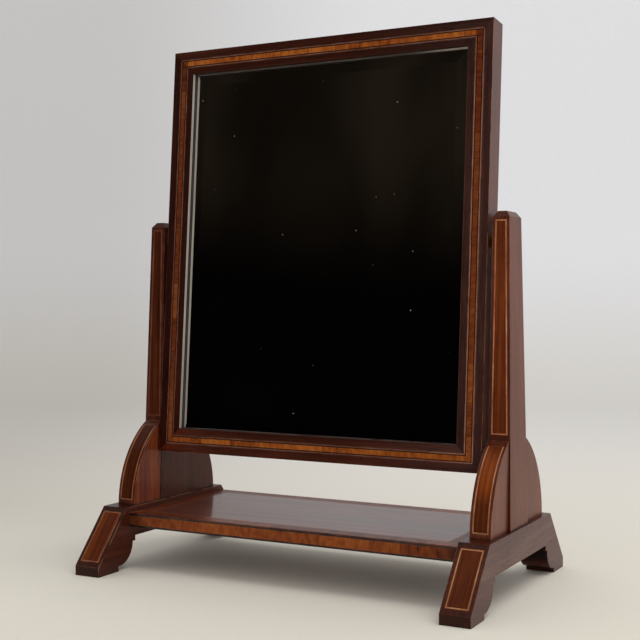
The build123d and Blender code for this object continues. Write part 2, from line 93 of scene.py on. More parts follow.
# Casts, as factors of red, green and blue. Painted: the frame's grey sheen, the shade on the band's
# upright runs, the glow on the veneer and the light on the frame's strings
CLOUDED, WATER_STAIN, SLIP_STREAK = (0.62, 0.58, 0.56), (0.45, 0.4, 0.38), (0.8, 0.78, 0.76)
PAINTED_SHEEN, REDDER, BAND_PAINTED_SHADE = (0.95, 1.5, 2.7), (1.35, 0.9, 0.65), (0.47, 0.37, 0.5)
END_DARKENING, PAINTED_GLOW = (0.45, 0.5, 0.75), (2.1, 2.1, 1.4)
DULL_STRING, PAINTED_STRING_LIGHT = (0.25, 0.31, 0.66), (2.0, 2.0, 1.9)

# Waves per metre along the grain and across it
FIGURE, RIBBON, PORES = (2.6, 30), (3.0, 210), (75, 1500)
BAND_GRAIN, BAND_MOTTLE = (1100, 70), (150, 95)
RINGS, FIBRE, SCRATCHES = (2.2, 55), (22, 900), (160, 2600)
# Waves per metre across the veneer panels and along them
CURL, STREAK, CLOUD, VENEER_PORES = (28, 85), (320, 6), (60, 14), (1600, 90)

# How far wear with a painted highlight and dirt reach in from the arrises, and dirt with painted shade out
# from the corners
WEAR_AND_HIGHLIGHT_REACH, CORNER_REACH = 0.0015, 0.0025
BAND_DIRT_REACH, STRING_DIRT_REACH, BOARD_DIRT_REACH, RUBBED_REACH = 0.0004, 0.00052, 0.0016, 0.0006
# Radius of the arrises of mahogany, of thin and small pieces, and of plain boards
ARRIS, FINE_ARRIS, BOARD_ARRIS = 0.0005, 0.0003, 0.0006
EDGE_SAMPLES = 6
# Depth of the grain that can be felt
MAHOGANY_RELIEF, VENEER_RELIEF, STRING_RELIEF, BOARD_RELIEF = 0.00006, 0.00004, 0.00003, 0.00012
SCRATCH_RELIEF, HIDE_RELIEF, PAPER_RELIEF = 0.00002, 0.00008, 0.0001
POLISH_SPECULAR, POLISH_IOR = 0.06, 1.5
# Steps and lengths of the walk from one seed to the next, by axis
SEED_WALK = (1.37, 7), (2.11, 5), (3.73, 9)


class Finish:
    """One material and short calls for the nodes that the finishes share."""

    def __init__(self, name):
        self.material = bpy.data.materials.new(name)
        self.material.use_nodes = True
        self.tree = self.material.node_tree
        self.tree.nodes.clear()

    def add(self, kind, inputs=None, **settings):
        node = self.tree.nodes.new("ShaderNode" + kind)
        for key, value in settings.items():
            setattr(node, key, value)
        for key, value in (inputs or {}).items():
            self.feed(node.inputs[key], value)
        return node

    def feed(self, socket, value):
        if isinstance(value, bpy.types.NodeSocket):
            self.tree.links.new(value, socket)
        elif socket.type == "RGBA":
            socket.default_value = (*value[:3], 1.0)
        else:
            socket.default_value = value

    def point(self):
        return self.add("TexCoord").outputs["Object"]

    def vector(self, operation, *values):
        return self.add("VectorMath", dict(enumerate(values)), operation=operation).outputs

    def place(self, seed):
        """The point on the piece, moved by the seed so that each piece is cut from other wood."""
        shift = [seed * step % length for step, length in SEED_WALK]
        return self.vector("ADD", self.point(), shift)[0]

    def parts(self, vector):
        """The three components of a vector."""
        return list(self.add("SeparateXYZ", {0: vector}).outputs)

    def stretched(self, point, along, waves):
        """The point with its waves along one axis and across it."""
        scale = [waves[1]] * 3
        scale[along] = waves[0]
        return self.vector("MULTIPLY", point, scale)[0]

    def noise(self, point, scale=1.0, detail=3.0, roughness=0.5, distortion=0.0):
        inputs = {"Vector": point, "Scale": scale, "Detail": detail, "Roughness": roughness,
                  "Distortion": distortion}
        return self.add("TexNoise", inputs).outputs[0]

    def between(self, value, low, high, to_low=0.0, to_high=1.0):
        """The value's smooth step from low to high."""
        inputs = {"Value": value, "From Min": low, "From Max": high, "To Min": to_low, "To Max": to_high}
        return self.add("MapRange", inputs, interpolation_type="SMOOTHSTEP").outputs[0]

    def falling(self, value, low, high):
        """1 up to low and 0 from high on, with a smooth step between them."""
        return self.between(value, low, high, 1.0, 0.0)

    def calc(self, operation, *values):
        return self.add("Math", dict(enumerate(values)), operation=operation).outputs[0]

    def product(self, first, second):
        return self.calc("MULTIPLY", first, second)

    def minus(self, first, second):
        return self.calc("SUBTRACT", first, second)

    def absolute(self, value):
        return self.calc("ABSOLUTE", value)

    def past(self, value, limit):
        """How far the value lies outside the limit, to either side."""
        return self.minus(self.absolute(value), limit)

    def weighed(self, *pairs):
        """The sum of values times their weights."""
        total = None
        for value, weight in pairs:
            share = self.product(value, weight)
            total = share if total is None else self.calc("ADD", total, share)
        return total

    def mix(self, share, first, second, blend="MIX"):
        node = self.add("Mix", data_type="RGBA", blend_type=blend)
        for index, value in ((0, share), (6, first), (7, second)):
            self.feed(node.inputs[index], value)
        return node.outputs[2]

    def times(self, colour, factor, share=1.0):
        """The colour with each channel multiplied by the factor's, to this share."""
        return self.mix(share, colour, factor, "MULTIPLY")

    def ramp(self, value, positions, colours):
        node = self.add("ValToRGB", {"Fac": value})
        elements = node.color_ramp.elements
        while len(elements) < len(positions):
            elements.new(0.5)
        for element, position, colour in zip(elements, positions, colours):
            element.position, element.color = position, (*colour, 1.0)
        return node.outputs[0]

    def rounded(self, radius):
        """The surface's direction with its arrises rounded off."""
        return self.add("Bevel", {"Radius": radius}, samples=EDGE_SAMPLES).outputs[0]

    def arris(self, radius, low=0.03, high=0.3):
        """1 on the arrises and 0 away from them."""
        flat = self.add("NewGeometry").outputs["Normal"]
        turn = self.vector("DOT_PRODUCT", self.rounded(radius), flat)["Value"]
        return self.between(self.minus(1.0, turn), low, high)

    def facing(self, axis, one_way=False, low=0.4, high=0.85):
        """1 where the surface lies across this axis, or only where it looks along it, else 0."""
        direction = self.parts(self.add("TexCoord").outputs["Normal"])[axis]
        return self.between(direction if one_way else self.absolute(direction), low, high)

    def corner_dirt_and_shade(self, reach):
        """1 in the corners where pieces meet and 0 in the open, for dirt with painted shade."""
        openness = self.add("AmbientOcclusion", {"Distance": reach}, samples=EDGE_SAMPLES).outputs["AO"]
        return self.falling(openness, 0.5, 0.85)

    def surface(self, colour, roughness, height=None, depth=None, rounding=None, **constants):
        """Ends the material in one shader. Constants go to the shader's own sockets."""
        shader = self.add("BsdfPrincipled", {"Base Color": colour, "Roughness": roughness})
        for key, value in constants.items():
            self.feed(shader.inputs[key.replace("_", " ")], value)
        normal = self.rounded(rounding) if rounding else None
        if height is not None:
            bump = self.add("Bump", {"Height": height, "Distance": depth, "Strength": 1.0})
            if normal is not None:
                self.feed(bump.inputs["Normal"], normal)
            normal = bump.outputs[0]
        if normal is not None:
            self.feed(shader.inputs["Normal"], normal)
        out = self.add("OutputMaterial")
        self.tree.links.new(shader.outputs[0], out.inputs["Surface"])
        return self.material


def polish(weight, roughness):
    """Shader constants of a clear coat over wood."""
    return {"Specular_IOR_Level": POLISH_SPECULAR, "Coat_Weight": weight, "Coat_Roughness": roughness,
            "Coat_IOR": POLISH_IOR}


# Places on the leaning frame and along borders
def frame_local(m):
    """The point in the leaning frame: across it in X, through it in Y and up it in Z, from its middle."""
    moved = m.vector("SUBTRACT", m.point(), FRAME_MIDDLE)[0]
    return m.add("VectorRotate", {"Vector": moved, "Axis": (1, 0, 0), "Angle": LEAN},
                 rotation_type="AXIS_ANGLE").outputs[0]


def frame_inset(m, across, up):
    """How far a point of the leaning frame lies in from its outer edge."""
    return m.calc("MINIMUM", m.minus(FRAME_HALF_WIDTH, m.absolute(across)),
                  m.minus(FRAME_HALF_HEIGHT, m.absolute(up)))


def runs_round(m, point, half_width, half_height, up):
    """Along and across a border that runs round a rectangle in X and the up axis."""
    parts = m.parts(point)
    side = m.calc("GREATER_THAN", m.past(parts[X], half_width), m.past(parts[up], half_height))
    level = m.minus(1.0, side)
    along = m.weighed((parts[up], side), (parts[X], level))
    across = m.weighed((parts[X], side), (parts[up], level))
    # Each of the four runs starts somewhere else in the wood
    opposite_start, side_start = 3.1, 11.7
    along = m.weighed((along, 1.0), (m.calc("SIGN", across), opposite_start), (side, side_start))
    return along, across


def frame_border(m):
    return runs_round(m, frame_local(m), FRAME_HALF_WIDTH, FRAME_HALF_HEIGHT, Z)


def shelf_border(m):
    low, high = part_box("shelf_crossbanding")
    middle = [(a + b) / 2 for a, b in zip(low, high)]
    moved = m.vector("SUBTRACT", m.point(), middle)[0]
    return runs_round(m, moved, (high[X] - low[X]) / 2, (high[Y] - low[Y]) / 2, Y)


def shelf_edge_run(m):
    parts = m.parts(m.point())
    return parts[X], parts[Z]


# Mahogany
def frame_cast_and_sheen(m, wood, across, up):
    """Painted sheen that greys the frame towards its right, and the wood redder down its left."""
    wood = m.times(wood, PAINTED_SHEEN, m.between(across, *PAINTED_SHEEN_ACROSS))
    return m.times(wood, REDDER, m.product(m.falling(across, *REDDER_ACROSS), m.falling(up, *REDDER_UP)))


def stained_faces(m, wood, axis):
    """Dark stain on the faces across this axis, with painted shade darkest under the arches of the feet.
    """
    outwards = m.between(m.absolute(m.parts(m.point())[Y]), *ARCH_OUT)
    arch_shade_share, slope_share = 0.96, 0.75
    share = m.between(outwards, 0.0, 1.0, arch_shade_share, slope_share)
    # Painted shade, darkest under the arches
    stain = m.mix(outwards, ARCH_PAINTED_SHADE, STAINED)
    return m.mix(m.product(m.facing(axis, low=0.6, high=0.95), share), wood, stain)


def off_mitres(m, across, up):
    """0 along the frame's mitres, which are tight and so get neither wear nor the painted highlight, and 1
    away from them.
    """
    off = m.minus(m.past(across, FRAME_HALF_WIDTH), m.past(up, FRAME_HALF_HEIGHT))
    return m.between(m.absolute(off), *MITRE_OFF)


def slip_edge(m, wood, place, colours, grain):
    """The painted light and shade of the slip of the sight edge: its colour in front, and at its back
    those to the left and right.
    """
    across, through, up = place
    front_colour, back_left, back_right = colours
    on_edge = m.calc("GREATER_THAN", frame_inset(m, across, up), MEMBER_WIDTH - SLIP_SKIN)
    front = m.falling(through, SLIP_BACK - LINE_SOFTNESS, SLIP_BACK + LINE_SOFTNESS)
    streaky = m.times(front_colour, SLIP_STREAK, m.between(grain, 0.35, 0.65))
    back = m.mix(m.between(across, *GLINT_ACROSS), back_left, back_right)
    # Painted light and shade on the sight edge
    return m.mix(on_edge, wood, m.mix(front, back, streaky))


def mahogany(name, along, seed, shade, coat, coat_roughness=0.16, wear_and_highlight=0.5, stained=None, painted_right_light=None,
             painted_ledge_shade=0.0, slip=None):
    """Polished mahogany with its grain along one axis, and stained dark on the faces across another.

    The shade scales the tone; pieces of one wood in different shades are lit and shaded copies, painted
    light and shade.
    The cast of the faces that look to the right is painted light and sheen, and the share of the stain
    colour on level faces is painted shade. Arrises are pale with wear and a painted highlight, and corners
    dark with dirt and painted shade. A member of the mirror's frame also has the painted light and shade
    of its slip.
    """
    m = Finish(name)
    p = m.place(seed)
    figure = m.noise(m.stretched(p, along, FIGURE), detail=5, roughness=0.62, distortion=0.7)
    ribbon = m.noise(m.stretched(p, along, RIBBON), detail=4, roughness=0.6)
    pores = m.noise(m.stretched(p, along, PORES), detail=2)
    cloud = m.noise(p, scale=11, detail=2)
    wood = m.ramp(m.weighed((figure, 0.5), (ribbon, 0.5)), (0.30, 0.52, 0.74), MAHOGANY)
    wood = m.mix(m.between(pores, 0.56, 0.66, 0.0, 0.45), wood, MAHOGANY_PORE)
    wood = m.times(wood, CLOUDED, m.between(cloud, 0.3, 0.7, 0.0, 0.5))
    # Shade sets the tone; between pieces of one wood it makes lit and shaded copies, painted light and
    # shade
    wood = m.times(wood, (shade,) * 3)
    if slip:
        across, through, up = m.parts(frame_local(m))
        wood = frame_cast_and_sheen(m, wood, across, up)
    # Painted light and sheen on the faces that look to the right
    if painted_right_light:
        wood = m.times(wood, painted_right_light, m.facing(X, one_way=True))
    if stained is not None:
        wood = stained_faces(m, wood, stained)
    # Painted shade on the level faces
    if painted_ledge_shade:
        wood = m.mix(m.product(m.facing(Z), painted_ledge_shade), wood, STAINED)
    patchy = m.between(m.noise(p, scale=60, detail=3), 0.36, 0.62)
    # Pale arrises: wear, with a painted highlight where they catch the light
    worn_and_highlit = m.product(m.product(m.arris(WEAR_AND_HIGHLIGHT_REACH, low=0.02, high=0.16), patchy), wear_and_highlight)
    if slip:
        worn_and_highlit = m.product(worn_and_highlit, off_mitres(m, across, up))
    wood = m.mix(worn_and_highlit, wood, MAHOGANY_WORN_AND_HIGHLIT)
    # Dirt with painted shade in the corners where pieces meet
    wood = m.mix(m.product(m.corner_dirt_and_shade(CORNER_REACH), 0.8), wood, JOINT_DIRT_AND_SHADE)
    if slip:
        wood = slip_edge(m, wood, (across, through, up), slip, ribbon)
    rough = m.weighed((m.between(ribbon, 0.3, 0.7, 0.3, 0.42), 1.0), (worn_and_highlit, 0.2))
    relief = m.weighed((ribbon, 1.0), (pores, -0.8))
    return m.surface(wood, rough, relief, MAHOGANY_RELIEF, ARRIS, **polish(coat, coat_roughness))


# Inlay
def figured_veneer(name, seed, cast, painted_glow=None):
    """Warm straight veneer that runs along its panel, perhaps with a painted highlight about one height.
    """
    m = Finish(name)
    p = m.place(seed)
    curl = m.noise(m.stretched(p, X, CURL), detail=3, roughness=0.55, distortion=1.2)
    streak = m.noise(m.stretched(p, X, STREAK), detail=4, roughness=0.6)
    cloud = m.noise(m.stretched(p, X, CLOUD), detail=2)
    pores = m.noise(m.stretched(p, X, VENEER_PORES), detail=2)
    wood = m.ramp(m.weighed((curl, 0.06), (streak, 0.64), (cloud, 0.3)), (0.34, 0.5, 0.66), VENEER)
    wood = m.mix(m.between(pores, 0.58, 0.68, 0.0, 0.35), wood, VENEER_PORE)
    wood = m.times(wood, cast)
    # Painted highlight about one height
    if painted_glow:
        height, reach = painted_glow
        off = m.absolute(m.minus(m.parts(m.point())[Z], height))
        wood = m.times(wood, PAINTED_GLOW, m.falling(off, 0.2 * reach, reach))
    return m.surface(wood, m.between(streak, 0.3, 0.7, 0.28, 0.4), streak, VENEER_RELIEF, FINE_ARRIS,
                     **polish(weight=0.08, roughness=0.14))


def crossband(name, border, colours, length, seed, edges=None):
    """Short lengths of veneer set side by side with their grain across the band."""
    m = Finish(name)
    along, across = border(m)
    along = m.calc("ADD", along, seed)
    lengths = {"W": m.calc("DIVIDE", along, length), "Scale": 1.0, "Randomness": 0.85}
    piece = m.add("TexVoronoi", lengths, voronoi_dimensions="1D")
    joint = m.add("TexVoronoi", lengths, voronoi_dimensions="1D", feature="DISTANCE_TO_EDGE")
    tint = m.add("SeparateColor", {0: piece.outputs["Color"]}).outputs
    joint_width, spread = 0.0006, 40

    def figure(waves, channel):
        spot = m.add("CombineXYZ", {0: m.product(along, waves[0]), 1: m.product(across, waves[1]),
                                    2: m.product(tint[channel], spread)}).outputs[0]
        return m.noise(spot, detail=3, roughness=0.6)

    grain, mottle = figure(BAND_GRAIN, 0), figure(BAND_MOTTLE, 1)
    tone = m.weighed((tint[0], 0.16), (grain, 0.36), (mottle, 0.5))
    wood = m.ramp(tone, (0.34, 0.5, 0.68), colours)
    at_joint = m.between(joint.outputs["Distance"], 0.0, joint_width / length, 0.45, 0.0)
    wood = m.mix(at_joint, wood, BAND_JOINT)
    wood = m.mix(m.product(m.arris(BAND_DIRT_REACH), 0.6), wood, BAND_DIRT)
    if edges:
        wood = edges(m, wood)
    return m.surface(wood, m.between(grain, 0.3, 0.7, 0.28, 0.42), grain, VENEER_RELIEF,
                     **polish(weight=0.07, roughness=0.15))


def ebony_edges(m, wood):
    """Dark lines between the frame's band and its strings, and painted shade on the band's upright runs,
    which are darker and redder, most down the left and towards the top on the right.
    """
    across, _, up = m.parts(frame_local(m))
    band_inside, left_share, foot_share = SIGHT_HALF_WIDTH + 0.009, 0.8, 0.35
    upright = m.calc("GREATER_THAN", m.absolute(across), band_inside)
    left = m.calc("LESS_THAN", across, 0.0)
    share = m.calc("MAXIMUM", m.product(left, left_share), m.between(up, *BAND_UP, foot_share, 1.0))
    # Painted shade on the upright runs of the band
    wood = m.times(wood, BAND_PAINTED_SHADE, m.product(upright, share))
    off = m.absolute(m.minus(frame_inset(m, across, up), BAND_MIDDLE))
    return m.mix(m.between(off, BAND_HALF - LINE_SOFTNESS, BAND_HALF + LINE_SOFTNESS), wood, EBONY)


def dark_ends(m, wood):
    """The shelf's band darker towards both of its ends."""
    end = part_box("shelf_front_band")[1][X]
    off = m.absolute(m.parts(m.point())[X])
    return m.times(wood, END_DARKENING, m.between(off, end - DARK_END_FROM, end - DARK_END_TO))


def boxwood(name, seed, cast, right_cast=None):
    """Pale stringing with dirt along its edges, perhaps with painted light down the right of the frame,
    strongest low down.
    """
    m = Finish(name)
    p = m.place(seed)
    blotch = m.noise(p, scale=45, detail=4, roughness=0.6)
    fibre = m.noise(p, scale=900, detail=2)
    wood = m.ramp(m.weighed((blotch, 0.7), (fibre, 0.3)), (0.32, 0.5, 0.68), BOXWOOD)
    wood = m.times(wood, cast)
    if right_cast:
        across, _, up = m.parts(frame_local(m))
        top_share = 0.2
        # Painted light on the strings down the right of the frame
        share = m.product(m.between(across, *STRING_LIGHT_ACROSS), m.between(up, *STRING_LIGHT_UP, 1.0, top_share))
        wood = m.times(wood, right_cast, share)
    wood = m.mix(m.product(m.arris(STRING_DIRT_REACH), 0.85), wood, STRING_DIRT)
    return m.surface(wood, m.between(fibre, 0.3, 0.7, 0.3, 0.42), fibre, STRING_RELIEF,
                     **polish(weight=0.16, roughness=0.16))


# Other materials
def softwood(name, along, seed, colours, boards=None):
    """Plain unpolished wood of the back and the hidden blocks, perhaps in boards of this width."""
    m = Finish(name)
    p = m.place(seed)
    rings = m.noise(m.stretched(p, along, RINGS), detail=4, roughness=0.55, distortion=1.4)
    fibre = m.noise(m.stretched(p, along, FIBRE), detail=3, roughness=0.6)
    stain = m.noise(p, scale=7, detail=5, roughness=0.62)
    wood = m.ramp(m.weighed((rings, 0.6), (fibre, 0.4)), (0.36, 0.52, 0.68), colours)
    wood = m.times(wood, WATER_STAIN, m.between(stain, 0.5, 0.68, 0.0, 0.6))
    relief = m.weighed((fibre, 1.0), (rings, 0.6))
    if boards:
        lane = m.calc("PINGPONG", m.calc("ADD", m.parts(m.point())[X], boards), boards)
        seam = m.falling(lane, 0.0002, 0.0009)
        wood = m.mix(m.product(seam, 0.85), wood, BOARD_SEAM)
        relief = m.weighed((relief, 1.0), (seam, -4.0))
    wood = m.mix(m.product(m.arris(BOARD_DIRT_REACH), 0.45), wood, BOARD_DIRT)
    return m.surface(wood, m.between(fibre, 0.3, 0.7, 0.55, 0.75), relief, BOARD_RELIEF, BOARD_ARRIS,
                     Specular_IOR_Level=0.3)


def mirror_glass(name):
    """Old silvered plate: a few specks in the silver and a dull line at its edge."""
    m = Finish(name)
    across, _, up = m.parts(frame_local(m))
    spot = m.add("CombineXYZ", {0: across, 1: up}).outputs[0]
    cells_per_metre, empty_share, smallest, largest = 42.0, 0.92, 0.012, 0.03
    cells = m.add("TexVoronoi", {"Vector": spot, "Scale": cells_per_metre, "Randomness": 1.0},
                  voronoi_dimensions="2D").outputs
    chance = m.add("SeparateColor", {0: cells["Color"]}).outputs
    there = m.calc("GREATER_THAN", chance[0], empty_share)
    radius = m.between(chance[1], 0.0, 1.0, smallest, largest)
    speck = m.product(there, m.calc("LESS_THAN", cells["Distance"], radius))
    haze = m.noise(m.point(), scale=16, detail=5, roughness=0.6)
    rim = m.calc("MAXIMUM", m.past(across, SIGHT_HALF_WIDTH), m.past(up, SIGHT_HALF_HEIGHT))
    ragged = m.calc("ADD", rim, m.between(haze, 0.3, 0.7, -RIM_RAGGED, RIM_RAGGED))
    edge = m.between(ragged, *RIM_IN)
    colour = m.mix(m.between(haze, 0.35, 0.7, 0.0, 0.3), SILVER, HAZY_SILVER)
    colour = m.mix(edge, colour, BARE_GLASS)
    colour = m.mix(speck, colour, SPECK)
    metal = m.minus(1.0, m.calc("MAXIMUM", speck, edge))
    rough = m.weighed((m.between(haze, 0.4, 0.75, 0.012, 0.03), 1.0), (speck, 0.5))
    return m.surface(colour, rough, Metallic=metal, Specular_IOR_Level=0.5)


def brass(name, seed):
    """Old brass, brown where fingers do not reach."""
    m = Finish(name)
    p = m.place(seed)
    tarnish = m.noise(p, scale=220, detail=5, roughness=0.65)
    scratch = m.noise(m.stretched(p, Z, SCRATCHES), detail=2)
    colour = m.ramp(tarnish, (0.32, 0.52, 0.7), BRASS)
    colour = m.mix(m.product(m.arris(RUBBED_REACH), 0.6), colour, BRASS_RUBBED)
    rough = m.weighed((m.between(tarnish, 0.3, 0.7, 0.5, 0.26), 1.0), (scratch, 0.08))
    return m.surface(colour, rough, scratch, SCRATCH_RELIEF, FINE_ARRIS, Metallic=1.0)


def leather(name, seed):
    """Dark hide of the friction washers."""
    m = Finish(name)
    p = m.place(seed)
    pebble = m.add("TexVoronoi", {"Vector": p, "Scale": 1600.0}).outputs["Distance"]
    blotch = m.noise(p, scale=320, detail=4)
    colour = m.ramp(blotch, (0.3, 0.7), HIDE)
    return m.surface(colour, m.between(pebble, 0.1, 0.6, 0.55, 0.75), pebble, HIDE_RELIEF, FINE_ARRIS)


def dress(node, material):
    """Gives a CAD node its material."""
    for slot in nodes[node].material_slots:
        slot.material = material


# Stand. The left side's shade, panels and strings are darker than the right's: painted shade. The casts of
# the faces that look to the right are painted light and sheen, and the right bracket's veneer has a
# painted glow about one height
STAND = (
    SimpleNamespace(
        name="left", seed=2, shade=0.9, rail_coat=0.2, coat=0.2, wear_and_highlight=1.3, painted_ledge_shade=0.72,
        rail_painted_right_light=None, painted_right_light=None, bracket_painted_right_light=(2.5, 2.3, 1.65),
        foot_panel=(0.47, 0.42, 0.24), foot_string=(0.42, 0.36, 0.44),
        post_panel=(0.28, 0.26, 0.24), post_string=(0.29, 0.25, 0.37),
        bracket_panel=(0.27, 0.25, 0.22), bracket_string=(0.5, 0.47, 0.6), bracket_painted_glow=None),
    SimpleNamespace(
        name="right", seed=5, shade=1.15, rail_coat=0.18, coat=0.28, wear_and_highlight=0.5, painted_ledge_shade=0.4,
        rail_painted_right_light=(1.28, 2.8, 6.0), painted_right_light=(1.55, 1.62, 1.3), bracket_painted_right_light=(1.85, 2.1, 2.0),
        foot_panel=(0.46, 0.46, 0.46), foot_string=(0.75, 0.88, 1.2),
        post_panel=(0.57, 0.55, 0.52), post_string=(0.82, 0.83, 1.2),
        bracket_panel=(0.42, 0.42, 0.42), bracket_string=(0.74, 0.82, 1.2), bracket_painted_glow=(0.135, 0.033)),
)
for side in STAND:
    name, seed, shade, coat = side.name, side.seed, side.shade, side.coat
    dress(f"{name}_foot_rail", mahogany(
        f"{name}_rail_mahogany", Y, seed + 0.1, shade, side.rail_coat, wear_and_highlight=side.wear_and_highlight, stained=Y,
        painted_right_light=side.rail_painted_right_light, painted_ledge_shade=side.painted_ledge_shade))
    dress(f"{name}_upright", mahogany(
        f"{name}_post_mahogany", Z, seed + 0.2, shade, coat, coat_roughness=0.2, painted_right_light=side.painted_right_light,
        painted_ledge_shade=0.7))
    dress(f"{name}_front_bracket", mahogany(
        f"{name}_front_bracket_mahogany", Z, seed + 0.3, shade, coat, wear_and_highlight=side.wear_and_highlight,
        painted_right_light=side.bracket_painted_right_light))
    dress(f"{name}_rear_bracket", mahogany(
        f"{name}_rear_bracket_mahogany", Z, seed + 0.4, shade, coat, painted_right_light=side.painted_right_light))
    dress(f"{name}_foot_panel", figured_veneer(f"{name}_foot_veneer", seed + 0.5, side.foot_panel))
    dress(f"{name}_upright_panel", figured_veneer(f"{name}_post_veneer", seed + 0.6, side.post_panel))
    dress(f"{name}_bracket_panel", figured_veneer(
        f"{name}_bracket_veneer", seed + 0.7, side.bracket_panel, side.bracket_painted_glow))
    for line, cast in (("foot", side.foot_string), ("upright", side.post_string),
                       ("bracket", side.bracket_string)):
        dress(f"{name}_{line}_stringing", boxwood(f"{name}_{line}_boxwood", seed + 0.8, cast))

dress("shelf", mahogany("shelf_mahogany", X, 9.1, shade=1.2, coat=0.46, coat_roughness=0.06, stained=Y))
dress("shelf_crossbanding", crossband(
    "shelf_border_veneer", shelf_border, KINGWOOD, length=0.09, seed=1.3))
dress("shelf_front_band", crossband(
    "shelf_edge_satinwood", shelf_edge_run, RED_SATINWOOD, length=0.055, seed=4.2, edges=dark_ends))
dress("shelf_stringing", boxwood("shelf_boxwood", 7, (0.5, 0.45, 0.45)))

# Mirror. Its members share one mahogany in different shades: painted light and shade
dress("frame_top_rail", mahogany(
    "top_rail_mahogany", X, 11.1, shade=0.46, coat=0.1, slip=(SLIP_DEEP_PAINTED_SHADE, SLIP_PAINTED_HIGHLIGHT, SLIP_GLINT)))
dress("frame_bottom_rail", mahogany(
    "bottom_rail_mahogany", X, 12.2, shade=0.72, coat=0.1, slip=(SLIP_IN_PAINTED_SHADE, SLIP_SHADE, SLIP_SHADE)))
dress("frame_left_stile", mahogany(
    "left_stile_mahogany", Z, 13.3, shade=0.35, coat=0.1, slip=(SLIP_PAINTED_LIGHT, SLIP_SHADE, SLIP_SHADE)))
dress("frame_right_stile", mahogany(
    "right_stile_mahogany", Z, 14.4, shade=0.6, coat=0.42, wear_and_highlight=0.8, painted_right_light=(2.32, 1.33, 0.56),
    slip=(SLIP_IN_PAINTED_SHADE, SLIP_SHADE, SLIP_SHADE)))
dress("frame_banding", crossband(
    "frame_satinwood", frame_border, SATINWOOD, length=0.04, seed=2.6, edges=ebony_edges))
dress("frame_outer_string", boxwood("outer_boxwood", 15, DULL_STRING, PAINTED_STRING_LIGHT))
dress("frame_inner_string", boxwood("inner_boxwood", 16, DULL_STRING, PAINTED_STRING_LIGHT))
dress("mirror_plate", mirror_glass("silvered_glass"))
dress("backboard", softwood("back_boards", Z, 17, BOARD_WOOD, boards=0.0643))
blocks = softwood("block_softwood", Z, 18, BLOCK_WOOD)
dress("glazing_blocks", blocks)
dress("mitre_tongues", blocks)
metal = brass("old_brass", seed=3)
for node in ("left_socket_plate", "right_socket_plate", "socket_screws", "left_stud_plate",
             "right_stud_plate", "stud_screws", "backboard_screws"):
    dress(node, metal)
hide = leather("washer_leather", seed=5)
dress("left_pivot_washer", hide)
dress("right_pivot_washer", hide)


# Camera at the photograph's angle
EYE, YAW, PITCH, ROLL = (0.6387, -1.2250, 0.3125), 0.4842, -0.0144, 0.0024
camera = bpy.data.cameras.new("camera")
camera.lens, camera.sensor_width = 66.73, 36.0
camera.clip_start, camera.clip_end = 0.02, 50.0
viewer = bpy.data.objects.new("camera", camera)
scene.collection.objects.link(viewer)
viewer.matrix_world = (Matrix.Translation(EYE) @ Matrix.Rotation(YAW, 4, "Z")
                       @ Matrix.Rotation(math.pi / 2 + PITCH, 4, "X") @ Matrix.Rotation(ROLL, 4, "Z"))
scene.camera = viewer
scene.view_settings.view_transform = "Standard"


# Stage: a pale round sweep, a dark cloth in front that only shows in polish and glass, and soft light
FLOOR_RADIUS, FLOOR_RINGS, COVE_RADIUS, WALL_TOP = 2.3, 6, 0.55, 3.2
SWEEP_TURNS, COVE_STEPS = 96, 12
FLAG_RADIUS, FLAG_TOP, FLAG_STEPS = 1.86, 2.4, 30
# Angles are from the front, positive to the right. The cloth thins out at its ends and near edge
FLAG_LEFT, FLAG_RIGHT, FLAG_FADE = math.radians(-76), math.radians(30), math.radians(28)
DARK_FLOOR, DARK_FLOOR_FADE, DARK_FLOOR_LIFT = 0.75, 0.5, 0.003
IN_REFLECTIONS = {"visible_camera": False, "visible_shadow": False, "visible_diffuse": False}
NO_SHADOW_OR_BOUNCE = {"visible_diffuse": False, "visible_shadow": False}
PAPER_NEAR, PAPER_FAR, PAPER_WALL = rgb(236, 231, 219), rgb(236, 234, 230), rgb(239, 240, 244)
PAPER_SHADE, PAPER_FIBRE = (0.75, 0.74, 0.72), rgb(180, 174, 164)
CLOTH_DARK, CLOTH_WARM = (0.0008, 0.0006, 0.0006), (0.015, 0.011, 0.007)
SKY, SKY_AT_HORIZON, SKY_OVERHEAD = (1.0, 0.99, 0.98, 1.0), 1.0, 0.5


def stage_piece(name, mesh_builder, material, **sight):
    mesh = bpy.data.meshes.new(name)
    bm = bmesh.new()
    mesh_builder(bm)
    bm.to_mesh(mesh)
    bm.free()
    mesh.materials.append(material)
    mesh.polygons.foreach_set("use_smooth", [True] * len(mesh.polygons))
    piece = bpy.data.objects.new(name, mesh)
    scene.collection.objects.link(piece)
    for key, value in sight.items():
        setattr(piece, key, value)


def floor_rings():
    """Radius and height of the floor's rings, outwards."""
    for step in range(1, FLOOR_RINGS + 1):
        yield FLOOR_RADIUS * step / FLOOR_RINGS, 0.0


def wall_rings():
    """Radius and height along the sweep, from the edge of the floor up the wall."""
    for step in range(COVE_STEPS + 1):
        angle = math.pi / 2 * step / COVE_STEPS
        yield FLOOR_RADIUS + COVE_RADIUS * math.sin(angle), COVE_RADIUS * (1 - math.cos(angle))
    yield FLOOR_RADIUS + COVE_RADIUS, WALL_TOP


def build_rings(bm, profile, filled=False):
    angles = [2 * math.pi * k / SWEEP_TURNS for k in range(SWEEP_TURNS)]
    rings = [[bm.verts.new((radius * math.cos(a), radius * math.sin(a), height)) for a in angles]
             for radius, height in profile]
    if filled:
        bm.faces.new(rings[0])
    for inner, outer in zip(rings, rings[1:]):
        for k in range(SWEEP_TURNS):
            after = (k + 1) % SWEEP_TURNS
            bm.faces.new((inner[k], outer[k], outer[after], inner[after]))


